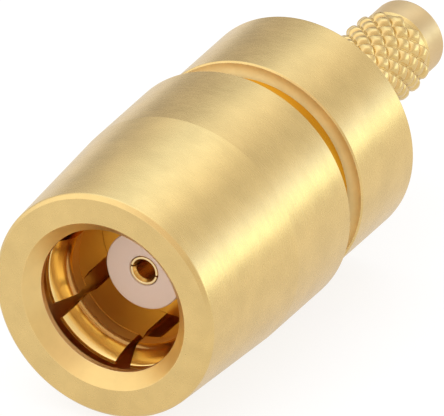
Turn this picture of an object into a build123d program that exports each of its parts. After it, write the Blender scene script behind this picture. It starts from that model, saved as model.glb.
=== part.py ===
from build123d import *
import os
from math import pi, sqrt

# Straight push-on coaxial plug for a thin cable. The axis is +Y: the mouth looks along -Y
# and the cable leaves along +Y. Lengths are millimetres. Depths are counted from the flat
# front face of the mouth, and the origin is on the axis in the middle of the throat.

# Barrel of the mating jack, which the mouth is made for
barrel_radius = 1.85

# Front shroud
throat_clearance = 0.11
throat_land = 0.15
mouth_flare = 0.35
mouth_depth = 0.38
rim_width = 0.68
lip_chamfer = 0.10
lip_back_rise = 0.12
taper_length = 4.19
shroud_wall = 0.655
shroud_edge_break = 0.06

# Spring collet
finger_setback = 0.40
finger_flare = 0.27
finger_lip = 0.10
finger_lead_in = 0.56
finger_travel = 0.29
ridge_bite = 0.05
ridge_land = 0.12
ridge_height = 0.08
ridge_back_slope = 0.10
ridge_front_round = 0.16
collet_wall = 0.26
floor_to_slope = 0.43
slot_count = 6
slot_width = 0.43
slot_first_angle = 90
slot_length_behind_floor = 1.40
collet_flange_thickness = 0.40
collet_flange_relief = 0.04

# Rear body
boss_length = 2.86
seat_step = 0.18
spigot_grip = 1.95
groove_width = 1.02
flange_rise = 0.43
flange_length = 2.75
flange_edge_break = 0.08

# Crimp neck
neck_radius = 1.015
neck_root_fillet = 0.15
neck_plain_length = 1.03
neck_band_length = 0.875
neck_edge_round = 0.08
cable_bore_radius = 0.80
cable_bore_flare = 0.10
knurl_root_relief = 0.03
knurl_height = 0.17
knurl_row_pitch = 0.273
knurl_rows = 12
knurl_nubs_per_row = 12
knurl_valley = 0.02
knurl_crest_width = 0.11
knurl_nub_sink = 0.06

# Insulator
insulator_radius = 1.06
insulator_length = 6.10

# Centre contact
contact_radius = 0.385
contact_proud = 0.03
contact_edge_break = 0.05
socket_radius = 0.265
socket_depth = 2.20
socket_slot_width = 0.05
socket_slot_angle = -11
collar_rise = 0.215
collar_length = 0.35
collar_pocket = 1.20
conductor_hole_radius = 0.28
conductor_hole_depth = 1.10

# Clearances between pieces, all on the radius
seat_clearance = 0.01
collet_clearance = 0.02
contact_clearance = 0.05

# Radii that follow from the ones above
throat_radius = barrel_radius + throat_clearance
mouth_radius = throat_radius + mouth_flare
face_outer_radius = mouth_radius + rim_width
ridge_radius = barrel_radius - ridge_bite
collet_bore_radius = ridge_radius + ridge_height
collet_outer_radius = collet_bore_radius + collet_wall
finger_mouth_radius = ridge_radius + finger_flare
finger_front_radius = finger_mouth_radius + finger_lip
cavity_radius = max(finger_front_radius, collet_outer_radius) + finger_travel
spigot_radius = cavity_radius + seat_step
shroud_bore_radius = spigot_radius + seat_clearance
shroud_radius = shroud_bore_radius + shroud_wall
collet_flange_radius = spigot_radius - collet_flange_relief
boss_radius = collet_bore_radius - collet_clearance
flange_radius = spigot_radius + flange_rise
knurl_root_radius = neck_radius - knurl_root_relief
insulator_bore_radius = insulator_radius + seat_clearance
contact_bore_radius = contact_radius + contact_clearance
collar_radius = contact_radius + collar_rise
pocket_radius = collar_radius + seat_clearance

# Depths that follow, from the front face to the tail
throat_back = mouth_depth + throat_land
collet_front = throat_back + finger_setback
ridge_front = collet_front + finger_lead_in
ridge_back = ridge_front + ridge_land
slope_back = ridge_back + ridge_back_slope
floor_depth = slope_back + floor_to_slope
shoulder_depth = floor_depth + boss_length
collet_flange_front = shoulder_depth - collet_flange_thickness
shroud_end = shoulder_depth + spigot_grip
flange_front = shroud_end + groove_width
flange_back = flange_front + flange_length
knurl_start = flange_back + neck_plain_length
knurl_end = knurl_start + (knurl_rows + 1) * knurl_row_pitch
tail_end = knurl_end + neck_band_length
insulator_back = floor_depth + insulator_length
contact_front = floor_depth - contact_proud
collar_front = insulator_back - collar_pocket
collar_back = collar_front + collar_length

# A profile is drawn as (depth, radius) in the half plane above the axis.
mouth_y = -(mouth_depth + throat_land / 2)
profile_plane = Plane(origin=(0, mouth_y, 0), x_dir=(0, 1, 0), z_dir=(1, 0, 0))


def corner(sketch, depth, radius):
    """The profile's corner nearest to a depth and a radius."""
    return sketch.vertices().sort_by_distance(Vector(depth, radius, 0))[0]


def slot_plane(angle):
    """A plane along the axis that faces outward at an angle from +X towards +Z."""
    outward = Vector(1, 0, 0).rotate(Axis.Y, -angle)
    return Plane(origin=(0, mouth_y, 0), x_dir=(0, 1, 0), z_dir=outward)


# Front shroud: a turned sleeve with a tapered nose, a funnel mouth and a wide cavity that
# leaves the spring fingers room to open. Its rear bore is pressed over the body's spigot.
with BuildPart() as front_shroud:
    with BuildSketch(profile_plane):
        with BuildLine():
            Polyline(
                (0, mouth_radius),
                (0, face_outer_radius),
                (lip_chamfer, face_outer_radius + lip_chamfer),
                (taper_length, shroud_radius),
                (shroud_end - shroud_edge_break, shroud_radius),
                (shroud_end, shroud_radius - shroud_edge_break),
                (shroud_end, shroud_bore_radius),
                (collet_flange_front, shroud_bore_radius),
                (collet_flange_front, cavity_radius),
                (throat_back + lip_back_rise, cavity_radius),
                (throat_back, throat_radius),
                (mouth_depth, throat_radius),
                close=True,
            )
        make_face()
    revolve(axis=Axis.Y)
front_shroud.part.label = "front_shroud"

# Spring collet: a slotted tube that grips the mating barrel. The fingers have a flared
# lead-in, a rounded ridge and a relief behind it, and a flange seats the tube.
with BuildPart() as spring_collet:
    with BuildSketch(profile_plane) as collet_profile:
        with BuildLine():
            Polyline(
                (collet_front, finger_mouth_radius),
                (collet_front, finger_front_radius),
                (ridge_front, collet_outer_radius),
                (collet_flange_front, collet_outer_radius),
                (collet_flange_front, collet_flange_radius),
                (shoulder_depth, collet_flange_radius),
                (shoulder_depth, collet_bore_radius),
                (slope_back, collet_bore_radius),
                (ridge_back, ridge_radius),
                (ridge_front, ridge_radius),
                close=True,
            )
        make_face()
        fillet(corner(collet_profile, ridge_front, ridge_radius), ridge_front_round)
    revolve(axis=Axis.Y)
    slot_end = floor_depth + slot_length_behind_floor
    for slot in range(slot_count):
        with BuildSketch(slot_plane(slot_first_angle + slot * 360 / slot_count)):
            Rectangle(slot_end, slot_width, align=(Align.MIN, Align.CENTER))
            with Locations((slot_end, 0)):
                Circle(slot_width / 2)
        extrude(amount=collet_flange_radius, mode=Mode.SUBTRACT)
spring_collet.part.label = "spring_collet"

# Rear body: a boss whose polished face is the floor of the mouth, the spigot that shows as
# the groove's floor, the rear flange, and the hollow crimp neck with its diamond knurl.
with BuildPart() as rear_body:
    with BuildSketch(profile_plane) as body_profile:
        with BuildLine():
            Polyline(
                (floor_depth, insulator_bore_radius),
                (floor_depth, boss_radius),
                (shoulder_depth, boss_radius),
                (shoulder_depth, spigot_radius),
                (flange_front, spigot_radius),
                (flange_front, flange_radius),
                (flange_back, flange_radius),
                (flange_back, neck_radius),
                (tail_end, neck_radius),
                (tail_end, cable_bore_radius + cable_bore_flare),
                (tail_end - cable_bore_flare, cable_bore_radius),
                (insulator_back, cable_bore_radius),
                (insulator_back, insulator_bore_radius),
                close=True,
            )
        make_face()
        fillet(corner(body_profile, flange_back, neck_radius), neck_root_fillet)
        fillet(corner(body_profile, tail_end, neck_radius), neck_edge_round)
        chamfer(corner(body_profile, flange_front, flange_radius), flange_edge_break)
        chamfer(corner(body_profile, flange_back, flange_radius), flange_edge_break)
    revolve(axis=Axis.Y)

    # Knurl: tapered diamond nubs, with every second row turned by half a pitch. They stand
    # on a root that has one flat under each nub.
    with BuildSketch(Plane(origin=(0, mouth_y + knurl_start, 0), x_dir=(1, 0, 0), z_dir=(0, 1, 0))):
        flat_count = 2 * knurl_nubs_per_row
        Circle(flange_radius)
        RegularPolygon(
            knurl_root_radius,
            flat_count,
            major_radius=False,
            rotation=180 / flat_count,
            mode=Mode.SUBTRACT,
        )
    extrude(amount=knurl_end - knurl_start, mode=Mode.SUBTRACT)
    nub_room = min(2 * knurl_row_pitch, 2 * pi * knurl_root_radius / knurl_nubs_per_row)
    nub_foot = (nub_room - knurl_valley) / sqrt(2)
    nub_slope = (nub_foot - knurl_crest_width) / 2
    nub_planes = []
    for row in range(knurl_rows):
        row_y = mouth_y + knurl_start + (row + 1) * knurl_row_pitch
        for nub in range(knurl_nubs_per_row):
            turn = (nub + 0.5 * (row % 2)) * 360 / knurl_nubs_per_row
            outward = Vector(0, 0, 1).rotate(Axis.Y, turn)
            diagonal = Vector(1, 1, 0).rotate(Axis.Y, turn)
            foot = outward * (knurl_root_radius - knurl_nub_sink) + Vector(0, row_y, 0)
            nub_planes.append(Plane(origin=foot, x_dir=diagonal, z_dir=diagonal.cross(outward)))
    with Locations(*nub_planes):
        Wedge(
            nub_foot,
            knurl_height + knurl_nub_sink,
            nub_foot,
            nub_slope,
            nub_slope,
            nub_foot - nub_slope,
            nub_foot - nub_slope,
            align=(Align.CENTER, Align.MIN, Align.CENTER),
        )
rear_body.part.label = "rear_body"

# Insulator: the white plastic bead that centres the contact. It is flush with the floor of
# the mouth, and its rear pocket takes the contact's collar.
with BuildPart() as insulator:
    with BuildSketch(profile_plane):
        with BuildLine():
            Polyline(
                (floor_depth, contact_bore_radius),
                (floor_depth, insulator_radius),
                (insulator_back, insulator_radius),
                (insulator_back, pocket_radius),
                (collar_front, pocket_radius),
                (collar_front, contact_bore_radius),
                close=True,
            )
        make_face()
    revolve(axis=Axis.Y)
insulator.part.label = "insulator"

# Centre contact: a socket for the mating pin, split into two tines, with a collar that
# seats in the insulator and a barrel for the cable's conductor.
with BuildPart() as centre_contact:
    with BuildSketch(profile_plane) as contact_profile:
        with BuildLine():
            Polyline(
                (contact_front, socket_radius),
                (contact_front, contact_radius),
                (collar_front, contact_radius),
                (collar_front, collar_radius),
                (collar_back, collar_radius),
                (collar_back, contact_radius),
                (insulator_back, contact_radius),
                (insulator_back, conductor_hole_radius),
                (insulator_back - conductor_hole_depth, conductor_hole_radius),
                (insulator_back - conductor_hole_depth, 0),
                (contact_front + socket_depth, 0),
                (contact_front + socket_depth, socket_radius),
                close=True,
            )
        make_face()
        chamfer(corner(contact_profile, contact_front, socket_radius), contact_edge_break)
        chamfer(corner(contact_profile, contact_front, contact_radius), contact_edge_break)
    revolve(axis=Axis.Y)
    with BuildSketch(slot_plane(socket_slot_angle)):
        Rectangle(contact_front + socket_depth, socket_slot_width, align=(Align.MIN, Align.CENTER))
    extrude(amount=collar_radius, both=True, mode=Mode.SUBTRACT)
centre_contact.part.label = "centre_contact"

os.makedirs("parts", exist_ok=True)
export_step(front_shroud.part, "parts/front_shroud.step")
export_step(spring_collet.part, "parts/spring_collet.step")
export_step(rear_body.part, "parts/rear_body.step")
export_step(insulator.part, "parts/insulator.step")
export_step(centre_contact.part, "parts/centre_contact.step")
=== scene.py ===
import math

import bpy
import numpy as np
from mathutils import Matrix, Vector


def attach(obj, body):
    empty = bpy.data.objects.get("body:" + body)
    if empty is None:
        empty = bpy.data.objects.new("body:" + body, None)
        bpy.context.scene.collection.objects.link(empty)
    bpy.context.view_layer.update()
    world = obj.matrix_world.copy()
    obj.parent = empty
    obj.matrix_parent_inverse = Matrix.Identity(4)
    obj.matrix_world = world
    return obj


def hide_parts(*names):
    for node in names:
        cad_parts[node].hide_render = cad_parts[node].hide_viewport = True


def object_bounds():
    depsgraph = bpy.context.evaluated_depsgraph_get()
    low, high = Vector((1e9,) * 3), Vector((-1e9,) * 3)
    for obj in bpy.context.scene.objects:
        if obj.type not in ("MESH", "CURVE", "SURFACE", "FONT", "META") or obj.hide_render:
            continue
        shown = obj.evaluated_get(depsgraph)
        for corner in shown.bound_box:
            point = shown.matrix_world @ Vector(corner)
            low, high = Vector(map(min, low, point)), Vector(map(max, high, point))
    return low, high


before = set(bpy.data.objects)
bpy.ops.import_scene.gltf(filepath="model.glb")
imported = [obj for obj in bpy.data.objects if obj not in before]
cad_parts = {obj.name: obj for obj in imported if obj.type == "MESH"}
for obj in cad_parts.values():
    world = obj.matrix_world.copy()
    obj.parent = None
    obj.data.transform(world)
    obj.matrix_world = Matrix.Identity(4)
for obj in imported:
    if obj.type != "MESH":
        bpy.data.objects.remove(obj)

cad_box = [list(corner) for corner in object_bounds()]

MM = 0.001
FULL_TURN = 2 * math.pi

# The axis is +Y. A depth is counted along it from the front face. Depths and radii are in mm.
FACE_Y = round(cad_box[0][1] / MM, 3)    # the front face's place on the axis
SEAT_CLEARANCE = 0.01                    # between pieces, on the radius

# Front shroud
FACE_INNER = 2.31           # the flat face, from the funnel to the bevel
FACE_OUTER = 2.99
FACE_BEVEL = 0.10
TAPER_END = 4.19
SHROUD_RADIUS = 3.30
SHROUD_BACK = 6.95
BACK_BEVEL = 0.06
BACK_BEVEL_RISE = 0.055
THROAT_RADIUS = 1.96        # the opening that guides the jack's barrel
THROAT_FRONT = 0.38
THROAT_BACK = 0.53
LIP_BACK = 0.65             # the end of the step behind the throat
CAVITY_RADIUS = 2.46        # the shroud's inside, round the fingers

# Spring collet
TIP_FRONT = 1.04            # the fingers' front
TIP_RADIUS = 2.21
RIDGE_RADIUS = 1.80         # the gripping ridge inside the fingers
RIDGE_FRONT = 1.72
RIDGE_BACK = 2.10
LEAD_IN_LENGTH = 0.65
WAIST_RADIUS = 1.96         # the fingers' outside, where they are pressed inward
WAIST_FRONT = 1.62
WAIST_BACK = 2.05
TUBE_RADIUS = 2.24          # the collet behind the waist
TUBE_FRONT = 2.40
TUBE_BORE = 2.08
BORE_FRONT = 2.42
SLOT_COUNT = 6
FIRST_SLOT = 30             # in degrees from +X towards +Z
SLOT_END = 4.42
SLOT_WIDTHS = [(TIP_FRONT, 0.428), (WAIST_FRONT, 0.187), (WAIST_BACK, 0.187), (2.75, 0.48)]
RING_FRONT = 4.60           # the rear ring sits between the shroud's step
RING_BACK = 5.00            # and the body's shoulder
RING_RADIUS = 2.60

# Rear body
MOUTH_FLOOR = 3.80          # the body's end round the bead
BOSS_RADIUS = 2.076
SPIGOT_RADIUS = 2.64
GROOVE_WIDTH = 1.02
FLANGE_RADIUS = 3.07
FLANGE_LENGTH = 2.75
FLANGE_FRONT_BEVEL = 0.04
FLANGE_BACK_BEVEL = 0.08
NECK_RADIUS = 1.015
NECK_LENGTH = 1.03          # the plain neck before the knurl
CORE_RADIUS = 0.985         # the neck under the knurl
CORE_BACK = 15.25
TAIL_FRONT = 15.33
TAIL_END = 16.10
CABLE_BORE = 0.80
BORE_BEVEL = 0.04
FLANGE_FRONT = SHROUD_BACK + GROOVE_WIDTH
FLANGE_BACK = FLANGE_FRONT + FLANGE_LENGTH
KNURL_FRONT = FLANGE_BACK + NECK_LENGTH
SPIGOT_BORE = SPIGOT_RADIUS + SEAT_CLEARANCE

# Knurl
KNURL_ROWS = 12
NUBS_ROUND = 12
ROW_PITCH = 0.273
NUB_FOOT = 1.005
NUB_CREST = 1.153
NUB_VALLEY = 0.975
LOWEST_NUB = 0.72           # the share of the full height that the lowest nub has

# Bead and centre contact
BEAD_FRONT = 2.14
BEAD_BACK = 8.24
BEAD_RADIUS = 1.06
BEAD_BORE = 0.405
CONTACT_FRONT = 2.15
CONTACT_RADIUS = 0.385
CONTACT_LIP = 0.325         # the countersink's widest radius
SOCKET_RADIUS = 0.265
SOCKET_FRONT = 2.26
SOCKET_FLOOR = 4.31
SLIT_ANGLES = [-11, 169]
SLIT_WIDTH = 0.05
COLLAR_RADIUS = 0.60
COLLAR_FRONT = 7.04
COLLAR_BACK = 7.39
WIRE_HOLE_RADIUS = 0.28
WIRE_HOLE_FLOOR = 7.14
ON_AXIS = 0.002             # a turned face that reaches the axis stops at this radius
BEAD_SEAT = BEAD_RADIUS + SEAT_CLEARANCE
POCKET_RADIUS = COLLAR_RADIUS + SEAT_CLEARANCE

# Floor, in metres
FLOOR_GAP = 0.000005        # between the lowest point of the solids and the floor
FLOOR_RADIUS = 0.6
FLOOR_SIDES = 64

# The photo's parallel view
AZIMUTH = math.radians(28.33)
ELEVATION = math.radians(28.6)
VIEW_WIDTH = 0.0111         # in metres, the photo's width at 40 pixels per mm
VIEW_RIGHT = 2.974          # from the middle of the front face to the picture's middle, in mm
VIEW_UP = 2.478
CAMERA_DISTANCE = 0.08      # in metres, as the next two
CLIP_START = 0.001
CLIP_END = 10

WORLD_STRENGTH = 2.0
MAX_BOUNCES = 48
GLOSSY_BOUNCES = 40         # the gold walls in the mouth face each other


# Mesh helpers

# A profile is a closed line round a section, as a list of (depth, radius, round, finish). The round
# is the corner's radius. The finish is the material of the stretch that starts at the corner.
STRAIGHT = 1e-3             # a corner that turns by less, in radians, gets no round
SIDE_SHARE = 0.45           # the most of a side that one corner's round may take
TURNED_STRETCH = 0.5
FINGER_STRETCH = 0.3
SHORTEST_NORMAL = 1e-12


def rounded(profile, arc_steps=5):
    """The profile's points with an arc for each corner that has a round, and their finishes.

    An arc takes the finish of the stretch before it.
    """
    points, finishes = [], []
    for i, (depth, radius, size, finish) in enumerate(profile):
        previous, following = profile[i - 1], profile[(i + 1) % len(profile)]
        here = np.array([depth, radius], float)
        before = np.array(previous[:2], float) - here
        after = np.array(following[:2], float) - here
        long_before, long_after = np.linalg.norm(before), np.linalg.norm(after)
        before, after = before / long_before, after / long_after
        opening = math.acos(float(np.clip(np.dot(before, after), -1, 1)))
        if size <= 0 or opening > math.pi - STRAIGHT:
            points.append(here)
            finishes.append(finish)
            continue
        slope = math.tan(opening / 2)
        reach = min(size / slope, SIDE_SHARE * long_before, SIDE_SHARE * long_after)
        inward = (before + after) / np.linalg.norm(before + after)
        centre = here + inward * (reach * slope) / math.sin(opening / 2)
        start, end = here + before * reach - centre, here + after * reach - centre
        sweep = (math.pi - opening) * np.sign(start[0] * end[1] - start[1] * end[0])
        for k in range(arc_steps + 1):
            a = sweep * k / arc_steps
            points.append(centre + np.array([
                start[0] * math.cos(a) - start[1] * math.sin(a),
                start[0] * math.sin(a) + start[1] * math.cos(a),
            ]))
            finishes.append(finish if k == arc_steps else previous[3])
    return np.array(points), finishes


def divided(points, finishes, stretch):
    """Sides of at least twice the stretch are divided, so that shading and noise stay even."""
    out, kinds = [], []
    for a, b, finish in zip(points, np.roll(points, -1, axis=0), finishes):
        parts = max(1, int(np.linalg.norm(b - a) / stretch))
        for k in range(parts):
            out.append(a + (b - a) * k / parts)
            kinds.append(finish)
    return np.array(out), kinds


def to_space(depth, radius, angle):
    """Depth and radius in mm and the angle from +X towards +Z, to points in metres."""
    spot = np.broadcast_arrays(radius * np.cos(angle), depth + FACE_Y, radius * np.sin(angle))
    return np.stack(spot, axis=-1) * MM


def grid_normals(grid, wrap_rows, wrap_columns):
    """Smooth normals of a grid of points. A long stretch outweighs a short one beside it."""
    def step(axis, wrap):
        if wrap:
            return np.roll(grid, -1, axis) - np.roll(grid, 1, axis)
        return np.gradient(grid, axis=axis)
    normal = np.cross(step(1, wrap_columns), step(0, wrap_rows))
    return normal / np.maximum(np.linalg.norm(normal, axis=-1, keepdims=True), SHORTEST_NORMAL)


class Builder:
    """Collects grids of quads and flat caps, with a normal for each corner, into one mesh."""

    def __init__(self):
        self.points, self.faces, self.normals, self.finishes = [], [], [], []
        self.count = 0

    def add_grid(self, grid, finishes, wrap_rows=True, wrap_columns=True):
        """Quads between the grid's points, with one finish for each row."""
        rows, columns = grid.shape[:2]
        normals = grid_normals(grid, wrap_rows, wrap_columns).reshape(-1, 3)
        index = np.arange(rows * columns).reshape(rows, columns)
        for i in range(rows if wrap_rows else rows - 1):
            j = (i + 1) % rows
            for c in range(columns if wrap_columns else columns - 1):
                d = (c + 1) % columns
                corners = (index[i, c], index[i, d], index[j, d], index[j, c])
                self.faces.append([int(k) + self.count for k in corners])
                self.normals.extend(normals[k] for k in corners)
                self.finishes.append(finishes[i])
        self.points.append(grid.reshape(-1, 3))
        self.count += rows * columns

    def add_cap(self, ring, finish, outward):
        """One flat face inside the ring of points, turned so that it looks outward."""
        loop = [self.count + k for k in range(len(ring))]
        area = np.zeros(3)
        for a, b in zip(ring, np.roll(ring, -1, axis=0)):
            area += np.cross(a - ring[0], b - ring[0])
        if np.dot(area, outward) < 0:
            loop.reverse()
        self.faces.append(loop)
        self.normals.extend([outward] * len(loop))
        self.finishes.append(finish)
        self.points.append(ring)
        self.count += len(ring)

    def finish(self, name, materials):
        """The piece as an object. The materials are those that its profiles name."""
        mesh = bpy.data.meshes.new(name)
        mesh.from_pydata(np.concatenate(self.points).tolist(), [], self.faces)
        places = {}
        for place, material in enumerate(materials):
            mesh.materials.append(material)
            places[material.name] = place
        mesh.polygons.foreach_set("material_index", [places[kind.name] for kind in self.finishes])
        mesh.polygons.foreach_set("use_smooth", [True] * len(self.faces))
        mesh.update()
        mesh.normals_split_custom_set([tuple(n) for n in self.normals])
        piece = bpy.data.objects.new(name, mesh)
        bpy.context.scene.collection.objects.link(piece)
        return piece


def turned(builder, profile, segments):
    """The profile swept all the way round the axis."""
    points, finishes = divided(*rounded(profile), TURNED_STRETCH)
    angle = np.linspace(0, FULL_TURN, segments, endpoint=False)
    builder.add_grid(to_space(points[:, :1], points[:, 1:], angle[None, :]), finishes)


def fingers(builder, profile, slot_angles, slot_widths, wall, steps, arc_steps=5):
    """The profile swept from each slot to the next, with a flat wall on each side of a slot.

    The slot angles are in degrees. The slot widths are a list of (depth, width) that the slots
    follow along the axis.
    """
    points, finishes = divided(*rounded(profile, arc_steps), FINGER_STRETCH)
    widths = np.interp(points[:, 0], *np.array(slot_widths).T)
    half = np.arcsin(widths / 2 / points[:, 1])
    share = np.linspace(0, 1, steps + 1)
    angles = [math.radians(angle) for angle in slot_angles]
    for slot, following in zip(angles, angles[1:] + angles[:1]):
        if following <= slot:
            following += FULL_TURN
        low, high = slot + half, following - half
        angle = low[:, None] + (high - low)[:, None] * share[None, :]
        grid = to_space(points[:, :1], points[:, 1:], angle)
        builder.add_grid(grid, finishes, wrap_columns=False)
        for ring, at, sense in ((grid[:, 0], slot, -1), (grid[:, -1], following, 1)):
            outward = sense * np.array([-math.sin(at), 0, math.cos(at)])
            builder.add_cap(ring, wall, outward)


# Node helpers

# The sockets of a mix node that is set to colours, and those of a mix of shaders
MIX_FIRST, MIX_SECOND, MIX_RESULT = 6, 7, 2
SHADER_FIRST, SHADER_SECOND = 1, 2


def node(tree, kind, **values):
    """A new node. Each value goes to the node's property of that name, or else to its input.

    A value that is a socket is linked to the input.
    """
    made = tree.nodes.new(kind)
    for key, value in values.items():
        name = key.replace("_", " ")
        if hasattr(made, key):
            setattr(made, key, value)
        elif isinstance(value, bpy.types.NodeSocket):
            tree.links.new(value, made.inputs[name])
        else:
            made.inputs[name].default_value = value
    return made


def noise(tree, place, scale, detail=3.0, roughness=0.6):
    """Noise from 0 to 1 at a place."""
    made = node(
        tree, "ShaderNodeTexNoise", Vector=place, Scale=scale, Detail=detail, Roughness=roughness,
    )
    return made.outputs["Fac"]


def calculated(tree, operation, first, second):
    """The result of a math node with two values."""
    made = node(tree, "ShaderNodeMath", operation=operation)
    tree.links.new(first, made.inputs[0])
    tree.links.new(second, made.inputs[1])
    return made.outputs[0]


def drift(tree, value, first, second, low=0.0, high=1.0):
    """A ramp from the first colour to the second as the value goes from low to high."""
    made = node(tree, "ShaderNodeValToRGB", Fac=value)
    start, end = made.color_ramp.elements
    start.position = low
    end.position = high
    start.color = (*first, 1)
    end.color = (*second, 1)
    return made.outputs["Color"]


def blend(tree, value, low, high, first, second):
    """Goes over smoothly from the first colour to the second as the value goes from low to high.

    The first is a socket, and the second is a socket or three numbers.
    """
    part = node(
        tree, "ShaderNodeMapRange", interpolation_type="SMOOTHSTEP",
        Value=value, From_Min=low, From_Max=high,
    )
    mix = node(tree, "ShaderNodeMix", data_type="RGBA", Factor=part.outputs["Result"])
    tree.links.new(first, mix.inputs[MIX_FIRST])
    if isinstance(second, tuple):
        mix.inputs[MIX_SECOND].default_value = (*second, 1)
    else:
        tree.links.new(second, mix.inputs[MIX_SECOND])
    return mix.outputs[MIX_RESULT]


def either(tree, share, first, second):
    """The first shader where the share is 0, and the second where it is 1."""
    mix = node(tree, "ShaderNodeMixShader", Fac=share)
    tree.links.new(first.outputs[0], mix.inputs[SHADER_FIRST])
    tree.links.new(second.outputs[0], mix.inputs[SHADER_SECOND])
    return mix.outputs[0]


def grained(tree, shader, height, strength, distance):
    """A fine bump in the shader's surface."""
    bump = node(tree, "ShaderNodeBump", Height=height, Strength=strength, Distance=distance)
    tree.links.new(bump.outputs["Normal"], shader.inputs["Normal"])


# Materials

CLOUDS_PER_MM = 1.3                  # the drift in the gold's colour
CLOUDS_LOW, CLOUDS_HIGH = 0.3, 0.7
GRAINS_PER_MM = 22.0
GRAIN_HEIGHT = 0.000012              # in metres
TURNING_SCALE = (2500, 9000, 2500)   # marks per metre: fine along the axis, longer across it
MARKS_LOW, MARKS_HIGH = 0.25, 0.75
WAXY_SCALE = 4000.0                  # clouds per metre
WAXY_HEIGHT = 0.00001
WAXY_DEPTH = 0.0004                  # how far light goes under the bead's surface, in metres


def gold(name, base, roughness, grain, streak, blotch=0.06, towards=None):
    """Gold plating with a slow drift in colour, turning marks in its roughness and a fine grain.

    Towards is a second colour, with the two places along Y in metres between which it comes in.
    """
    material = bpy.data.materials.new(name)
    material.use_nodes = True
    tree = material.node_tree
    shader = tree.nodes["Principled BSDF"]
    shader.inputs["Metallic"].default_value = 1.0
    place = node(tree, "ShaderNodeTexCoord").outputs["Object"]
    in_mm = node(tree, "ShaderNodeMapping", Vector=place, Scale=(1000, 1000, 1000)).outputs[0]

    clouds = noise(tree, in_mm, CLOUDS_PER_MM, detail=4.0, roughness=0.55)
    darker = [c * (1 - blotch) for c in base]
    lighter = [min(1, c * (1 + blotch)) for c in base]
    colour = drift(tree, clouds, darker, lighter, CLOUDS_LOW, CLOUDS_HIGH)
    if towards:
        second, low, high = towards
        axes = node(tree, "ShaderNodeSeparateXYZ", Vector=place)
        colour = blend(tree, axes.outputs["Y"], low, high, colour, second)
    tree.links.new(colour, shader.inputs["Base Color"])

    turning = node(tree, "ShaderNodeMapping", Vector=place, Scale=TURNING_SCALE).outputs[0]
    rough = node(
        tree, "ShaderNodeMapRange", Value=noise(tree, turning, 1.0),
        From_Min=MARKS_LOW, From_Max=MARKS_HIGH,
        To_Min=roughness - streak, To_Max=roughness + streak,
    )
    tree.links.new(rough.outputs["Result"], shader.inputs["Roughness"])
    grained(tree, shader, noise(tree, in_mm, GRAINS_PER_MM), grain, GRAIN_HEIGHT)
    return material


def waxy_white(name):
    """The bead's fluoropolymer, with a little light under its surface and faint clouds. Its white is
    tinted a pinkish peach, which is painted reflected light from the gold round it.
    """
    material = bpy.data.materials.new(name)
    material.use_nodes = True
    tree = material.node_tree
    shader = tree.nodes["Principled BSDF"]
    shader.inputs["Roughness"].default_value = 0.45
    shader.inputs["Subsurface Weight"].default_value = 0.25
    shader.inputs["Subsurface Radius"].default_value = (WAXY_DEPTH, WAXY_DEPTH, WAXY_DEPTH)
    shader.inputs["Subsurface Scale"].default_value = 1.0
    place = node(tree, "ShaderNodeTexCoord").outputs["Object"]
    clouds = noise(tree, place, WAXY_SCALE, detail=4.0)
    # pinkish peach instead of plain white: painted reflected light from the gold
    colour = drift(tree, clouds, (0.97, 0.73, 0.61), (0.99, 0.77, 0.66))
    tree.links.new(colour, shader.inputs["Base Color"])
    grained(tree, shader, clouds, 0.15, WAXY_HEIGHT)
    return material


# Outside
satin = gold("satin_gold", (0.80, 0.568, 0.230), roughness=0.27, grain=0.10, streak=0.04)
faced = gold("faced_gold", (0.89, 0.69, 0.335), roughness=0.65, grain=0.20, streak=0.05)
dull = gold("dull_gold", (0.76, 0.55, 0.28), roughness=0.42, grain=0.14, streak=0.04)

# The groove's floor, with painted shade and reflected light: it turns orange towards the corner before
# the flange
groove_shade = gold(
    "groove_shade_gold", (0.80, 0.568, 0.235), roughness=0.25, grain=0.12, streak=0.04,
    towards=((0.62, 0.27, 0.015), 0.0067, 0.0073),
)

# Mouth and other insides
funnel = gold("funnel_gold", (0.85, 0.60, 0.24), roughness=0.34, grain=0.10, streak=0.03)
polished = gold("polished_gold", (0.95, 0.69, 0.27), roughness=0.15, grain=0.08, streak=0.03, blotch=0.03)
worn = gold("worn_gold", (0.96, 0.69, 0.27), roughness=0.36, grain=0.10, streak=0.03, blotch=0.03)
# A darker, more orange gold on the mouth's floor round the bead: painted shade deep in the mouth
mouth_floor_shade = gold("mouth_floor_shade_gold", (0.86, 0.54, 0.12), roughness=0.30, grain=0.10, streak=0.03)
shaded = gold("shaded_gold", (0.93, 0.72, 0.38), roughness=0.35, grain=0.08, streak=0.03)
bright = gold("bright_gold", (0.94, 0.72, 0.38), roughness=0.22, grain=0.10, streak=0.03)
white = waxy_white("white_bead")


# Pieces

def make_shroud():
    """The tapered sleeve: the flat face, the outside, the back, and forward to the funnel."""
    shroud = Builder()
    turned(shroud, [
        (0, FACE_INNER, 0.03, satin),
        (0, FACE_OUTER, 0.04, satin),
        (FACE_BEVEL, FACE_OUTER + FACE_BEVEL, 0.12, satin),
        (TAPER_END, SHROUD_RADIUS, 0.15, satin),
        (SHROUD_BACK - BACK_BEVEL, SHROUD_RADIUS, 0.03, satin),
        (SHROUD_BACK, SHROUD_RADIUS - BACK_BEVEL_RISE, 0.02, faced),
        (SHROUD_BACK, SPIGOT_BORE, 0.01, shaded),
        (RING_FRONT, SPIGOT_BORE, 0, shaded),
        (RING_FRONT, CAVITY_RADIUS, 0, shaded),
        (LIP_BACK, CAVITY_RADIUS, 0.02, shaded),
        (THROAT_BACK, THROAT_RADIUS, 0.02, shaded),
        (THROAT_FRONT, THROAT_RADIUS, 0.05, funnel),
    ], segments=256)
    return shroud.finish("front_shroud_piece", [satin, shaded, faced, funnel])


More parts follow.
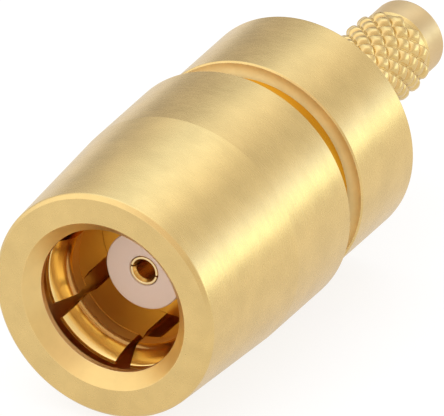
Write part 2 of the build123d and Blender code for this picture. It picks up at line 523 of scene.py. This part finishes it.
def lead_in(share):
    """A point of the fingers' lead-in, from the ridge at 0 to the tip at 1.

    It curves, goes on as a straight slope and is a little steeper again near the tip.
    """
    rise, extra_rise = 0.364, 0.19
    curve_end, steeper_from = 0.5, 0.7
    slope = share ** 2 if share < curve_end else share - curve_end ** 2
    radius = RIDGE_RADIUS + rise * slope + extra_rise * max(0, share - steeper_from) ** 2
    return RIDGE_FRONT - LEAD_IN_LENGTH * share, radius, 0, polished


def make_collet():
    """Six fingers, pressed inward to a waist where their ridge is, on a ring."""
    collet = Builder()
    tip_edge = (1.045, 2.112, 0, polished)
    fingers(collet, [lead_in(share) for share in np.linspace(0, 1, 15)] + [
        tip_edge,
        (TIP_FRONT, TIP_RADIUS, 0.02, polished),
        (WAIST_FRONT, WAIST_RADIUS, 0, polished),
        (WAIST_BACK, WAIST_RADIUS, 0, polished),
        (TUBE_FRONT, TUBE_RADIUS, 0, polished),
        (SLOT_END, TUBE_RADIUS, 0, polished),
        (SLOT_END, TUBE_BORE, 0, worn),
        (BORE_FRONT, TUBE_BORE, 0.05, polished),
        (RIDGE_BACK, RIDGE_RADIUS, 0.07, worn),
    ],
        slot_angles=[FIRST_SLOT + k * 360 / SLOT_COUNT for k in range(SLOT_COUNT)],
        slot_widths=SLOT_WIDTHS, wall=polished, steps=40, arc_steps=9)
    turned(collet, [
        (SLOT_END, TUBE_BORE, 0, polished),
        (SLOT_END, TUBE_RADIUS, 0, polished),
        (RING_FRONT, TUBE_RADIUS, 0, polished),
        (RING_FRONT, RING_RADIUS, 0.02, polished),
        (RING_BACK, RING_RADIUS, 0.02, polished),
        (RING_BACK, TUBE_BORE, 0, polished),
    ], segments=192)
    return collet.finish("spring_collet_piece", [polished, worn])


def add_knurl(builder, finish):
    """Rounded, uneven nubs on a diamond lattice, where each second row is turned by half a pitch.

    The open ends of the grid lie in a valley below the neck's core, where they don't show.
    """
    steps_along, steps_round, lattice = 12, 24, 64
    length = (KNURL_ROWS + 1) * ROW_PITCH
    depth = np.linspace(KNURL_FRONT, KNURL_FRONT + length, (KNURL_ROWS + 1) * steps_along + 1)
    angle = np.linspace(0, FULL_TURN, NUBS_ROUND * steps_round, endpoint=False)
    across = NUBS_ROUND * angle[None, :] / FULL_TURN + 0.5
    along = (depth[:, None] - KNURL_FRONT) / (2 * ROW_PITCH)
    u, v = across + along, across - along
    near_u, near_v = np.round(u), np.round(v)
    off_u, off_v = 2 * np.abs(u - near_u), 2 * np.abs(v - near_v)
    nub = np.clip(1 - off_u ** 3, 0, 1) * np.clip(1 - off_v ** 3, 0, 1)
    uneven = np.random.default_rng(4).uniform(LOWEST_NUB, 1.0, (lattice, lattice))
    nub *= uneven[near_u.astype(int) % lattice, near_v.astype(int) % lattice]
    row = near_u - near_v
    field = (row >= 1) & (row <= KNURL_ROWS)
    radius = np.where(field, NUB_FOOT + (NUB_CREST - NUB_FOOT) * nub ** 0.8, NUB_VALLEY)
    grid = to_space(depth[:, None], radius, angle[None, :])
    builder.add_grid(grid, [finish] * len(depth), wrap_rows=False)


def make_body():
    """The boss and the spigot inside the shroud, the flange, the neck and its smooth tail."""
    body = Builder()
    turned(body, [
        # the mouth's floor, darkened with painted shade
        (MOUTH_FLOOR, BEAD_SEAT, 0.01, mouth_floor_shade),
        (MOUTH_FLOOR, BOSS_RADIUS, 0.005, polished),
        (RING_BACK, BOSS_RADIUS, 0, polished),
        # the spigot, with painted shade and reflected light turning it orange towards the flange's corner
        (RING_BACK, SPIGOT_RADIUS, 0.02, groove_shade),
        (FLANGE_FRONT, SPIGOT_RADIUS, 0, faced),
        (FLANGE_FRONT, FLANGE_RADIUS - FLANGE_FRONT_BEVEL, 0.02, satin),
        (FLANGE_FRONT + FLANGE_FRONT_BEVEL, FLANGE_RADIUS, 0.03, satin),
        (FLANGE_BACK - FLANGE_BACK_BEVEL, FLANGE_RADIUS, 0.04, satin),
        (FLANGE_BACK, FLANGE_RADIUS - FLANGE_BACK_BEVEL, 0.03, satin),
        (FLANGE_BACK, NECK_RADIUS, 0.15, satin),
        (KNURL_FRONT, NECK_RADIUS, 0.01, satin),
        (KNURL_FRONT, CORE_RADIUS, 0.01, satin),
        (CORE_BACK, CORE_RADIUS, 0.05, satin),
        (TAIL_FRONT, NECK_RADIUS, 0.05, dull),
        (TAIL_END, NECK_RADIUS, 0.17, dull),
        (TAIL_END, CABLE_BORE + BORE_BEVEL, 0.01, satin),
        (TAIL_END - BORE_BEVEL, CABLE_BORE, 0.02, satin),
        (BEAD_BACK, CABLE_BORE, 0, polished),
        (BEAD_BACK, BEAD_SEAT, 0, polished),
    ], segments=256)
    add_knurl(body, satin)
    return body.finish("rear_body_piece", [satin, polished, faced, groove_shade, mouth_floor_shade, dull])


def make_bead():
    """The white bead, with a bore for the contact and a pocket for its collar."""
    bead = Builder()
    turned(bead, [
        (BEAD_FRONT, BEAD_BORE, 0.03, white),
        (BEAD_FRONT, BEAD_RADIUS, 0.04, white),
        (BEAD_BACK, BEAD_RADIUS, 0, white),
        (BEAD_BACK, POCKET_RADIUS, 0, white),
        (COLLAR_FRONT, POCKET_RADIUS, 0, white),
        (COLLAR_FRONT, BEAD_BORE, 0, white),
    ], segments=192)
    return bead.finish("insulator_piece", [white])


def make_contact():
    """The centre socket, slit across its front, with the collar and the hole for the wire."""
    contact = Builder()
    fingers(contact, [
        (CONTACT_FRONT, CONTACT_LIP, 0.02, bright),
        (CONTACT_FRONT, CONTACT_RADIUS, 0.015, bright),
        (SOCKET_FLOOR, CONTACT_RADIUS, 0, bright),
        (SOCKET_FLOOR, SOCKET_RADIUS, 0, bright),
        (SOCKET_FRONT, SOCKET_RADIUS, 0.04, bright),
    ],
        slot_angles=SLIT_ANGLES, slot_widths=[(CONTACT_FRONT, SLIT_WIDTH)],
        wall=bright, steps=64)
    turned(contact, [
        (SOCKET_FLOOR, ON_AXIS, 0, bright),
        (SOCKET_FLOOR, CONTACT_RADIUS, 0, bright),
        (COLLAR_FRONT, CONTACT_RADIUS, 0, bright),
        (COLLAR_FRONT, COLLAR_RADIUS, 0, bright),
        (COLLAR_BACK, COLLAR_RADIUS, 0, bright),
        (COLLAR_BACK, CONTACT_RADIUS, 0, bright),
        (BEAD_BACK, CONTACT_RADIUS, 0, bright),
        (BEAD_BACK, WIRE_HOLE_RADIUS, 0, bright),
        (WIRE_HOLE_FLOOR, WIRE_HOLE_RADIUS, 0, bright),
        (WIRE_HOLE_FLOOR, ON_AXIS, 0, bright),
    ], segments=64)
    return contact.finish("centre_contact_piece", [bright])


for piece, solid, slot in (
    (make_shroud(), "front_shroud", "gold_satin"),
    (make_collet(), "spring_collet", "gold_polished"),
    (make_body(), "rear_body", "gold_body"),
    (make_bead(), "insulator", "white_bead"),
    (make_contact(), "centre_contact", "gold_contact"),
):
    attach(piece, "root")
    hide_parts(solid)


# Floor, light and camera

def floor_paper():
    """Pale paper that keeps a faint shadow.

    The camera and reflections see a glow with a weak diffuse part, which takes the shadow. All
    other light falls on plain diffuse paper.
    """
    paper = bpy.data.materials.new("floor_paper")
    paper.use_nodes = True
    tree = paper.node_tree
    tree.nodes.clear()
    output = node(tree, "ShaderNodeOutputMaterial")
    plain = node(tree, "ShaderNodeBsdfDiffuse", Color=(0.8, 0.8, 0.8, 1))
    shade = node(tree, "ShaderNodeBsdfDiffuse", Color=(0.25, 0.247, 0.243, 1))
    path = node(tree, "ShaderNodeLightPath")
    by_camera, by_gloss = path.outputs["Is Camera Ray"], path.outputs["Is Glossy Ray"]
    level = node(tree, "ShaderNodeMapRange", Value=by_camera, To_Min=0.64, To_Max=0.80)
    glow = node(tree, "ShaderNodeEmission", Strength=level.outputs["Result"])
    both = node(tree, "ShaderNodeAddShader")
    tree.links.new(shade.outputs[0], both.inputs[0])
    tree.links.new(glow.outputs[0], both.inputs[1])
    seen = calculated(tree, "MAXIMUM", by_camera, by_gloss)
    tree.links.new(either(tree, seen, plain, both), output.inputs["Surface"])
    return paper


def add_floor():
    around = np.linspace(0, FULL_TURN, FLOOR_SIDES, endpoint=False)
    z = cad_box[0][2] - FLOOR_GAP
    rim = [(FLOOR_RADIUS * math.cos(a), FLOOR_RADIUS * math.sin(a), z) for a in around]
    mesh = bpy.data.meshes.new("floor")
    mesh.from_pydata(rim, [], [list(range(FLOOR_SIDES))])
    mesh.materials.append(floor_paper())
    floor = bpy.data.objects.new("floor", mesh)
    bpy.context.scene.collection.objects.link(floor)


# Light round the object's axis. A stop is an angle from +X towards +Z in degrees, with a level
# or with red, green and blue. The front list is for directions towards the front, the middle
# list for those half-way to the rear, and the rear list for those near the axis at the rear.
FRONT_LIGHT = [
    (-180, 1.1), (-60, 0.85), (0, 0.80, 0.74, 0.64), (30, 0.80, 0.76, 0.70), (50, 0.88, 0.80, 0.75),
    (67, 1.0, 0.90, 0.84), (82, 1.05, 0.98, 0.95), (105, 1.35), (122, 1.28), (140, 1.28),
    (160, 1.25), (180, 1.15),
]
SIDE_LIGHT = [
    (-60, 0.80), (-14, 1.0), (-4, 1.8, 2.3, 4.0), (8, 1.8, 2.3, 4.0), (20, 1.2, 1.35, 1.7), (34, 0.80),
]
MIDDLE_LIGHT = [(-180, 0.70)] + SIDE_LIGHT + [
    (54, 0.78), (66, 1.0), (80, 1.5, 1.6, 1.65), (95, 1.35, 1.55, 1.8), (112, 1.25, 1.45, 1.7),
    (128, 1.15, 1.25, 1.35), (144, 0.95), (160, 0.65), (180, 0.60),
]
REAR_LIGHT = [(-180, 0.60)] + SIDE_LIGHT + [
    (54, 0.70), (68, 0.68, 0.66, 0.66), (82, 0.84, 0.80, 0.80), (96, 1.08, 1.08, 1.10),
    (108, 0.93, 0.95, 0.98), (120, 0.58, 0.54, 0.54), (136, 0.37, 0.33, 0.33),
    (156, 0.38, 0.35, 0.36), (180, 0.46),
]

# The direction's part along the axis, where the middle light comes in and is full, and where
# the rear light does
MIDDLE_FROM, MIDDLE_FULL = -0.1, 0.5
REAR_FROM, REAR_FULL = 0.71, 0.78


def bands(tree, around, stops):
    """The stops as a smooth ramp over the share of a turn from -180 to 180 degrees."""
    made = node(tree, "ShaderNodeValToRGB", Fac=around)
    ramp = made.color_ramp
    ramp.interpolation = "B_SPLINE"
    for degrees, *_ in stops[1:-1]:
        ramp.elements.new((degrees + 180) / 360)
    for element, (_, *levels) in zip(ramp.elements, stops):
        if len(levels) == 1:
            levels = levels * 3
        element.color = [level / WORLD_STRENGTH for level in levels] + [1]
    return made.outputs["Color"]


def add_light():
    """Soft light from all round. The camera sees plain white instead."""
    world = bpy.data.worlds.new("studio")
    bpy.context.scene.world = world
    world.use_nodes = True
    tree = world.node_tree
    tree.nodes.clear()
    output = node(tree, "ShaderNodeOutputWorld")
    direction = node(tree, "ShaderNodeTexCoord").outputs["Generated"]
    parts = node(tree, "ShaderNodeSeparateXYZ", Vector=direction).outputs
    angle = calculated(tree, "ARCTAN2", parts["Z"], parts["X"])
    share = node(tree, "ShaderNodeMapRange", Value=angle, From_Min=-math.pi, From_Max=math.pi)
    around = share.outputs["Result"]
    front = bands(tree, around, FRONT_LIGHT)
    middle = bands(tree, around, MIDDLE_LIGHT)
    rear = bands(tree, around, REAR_LIGHT)
    light = blend(tree, parts["Y"], MIDDLE_FROM, MIDDLE_FULL, front, middle)
    light = blend(tree, parts["Y"], REAR_FROM, REAR_FULL, light, rear)
    studio = node(tree, "ShaderNodeBackground", Strength=WORLD_STRENGTH, Color=light)
    white_sky = node(tree, "ShaderNodeBackground", Strength=1.0, Color=(1, 1, 1, 1))
    by_camera = node(tree, "ShaderNodeLightPath").outputs["Is Camera Ray"]
    tree.links.new(either(tree, by_camera, studio, white_sky), output.inputs["Surface"])


def add_camera():
    right = Vector((math.cos(AZIMUTH), math.sin(AZIMUTH), 0))
    up = Vector((
        -math.sin(AZIMUTH) * math.sin(ELEVATION),
        math.cos(AZIMUTH) * math.sin(ELEVATION),
        math.cos(ELEVATION),
    ))
    back = right.cross(up)
    centre = Vector((0, FACE_Y * MM, 0)) + right * VIEW_RIGHT * MM + up * VIEW_UP * MM
    turn = Matrix((right, up, back)).transposed().to_4x4()
    data = bpy.data.cameras.new("camera")
    data.type = "ORTHO"
    data.ortho_scale = VIEW_WIDTH
    data.clip_start = CLIP_START
    data.clip_end = CLIP_END
    camera = bpy.data.objects.new("camera", data)
    bpy.context.scene.collection.objects.link(camera)
    camera.matrix_world = Matrix.Translation(centre + back * CAMERA_DISTANCE) @ turn
    bpy.context.scene.camera = camera


add_floor()
add_light()
add_camera()
bpy.context.scene.view_settings.view_transform = "Standard"
bpy.context.scene.cycles.max_bounces = MAX_BOUNCES
bpy.context.scene.cycles.glossy_bounces = GLOSSY_BOUNCES
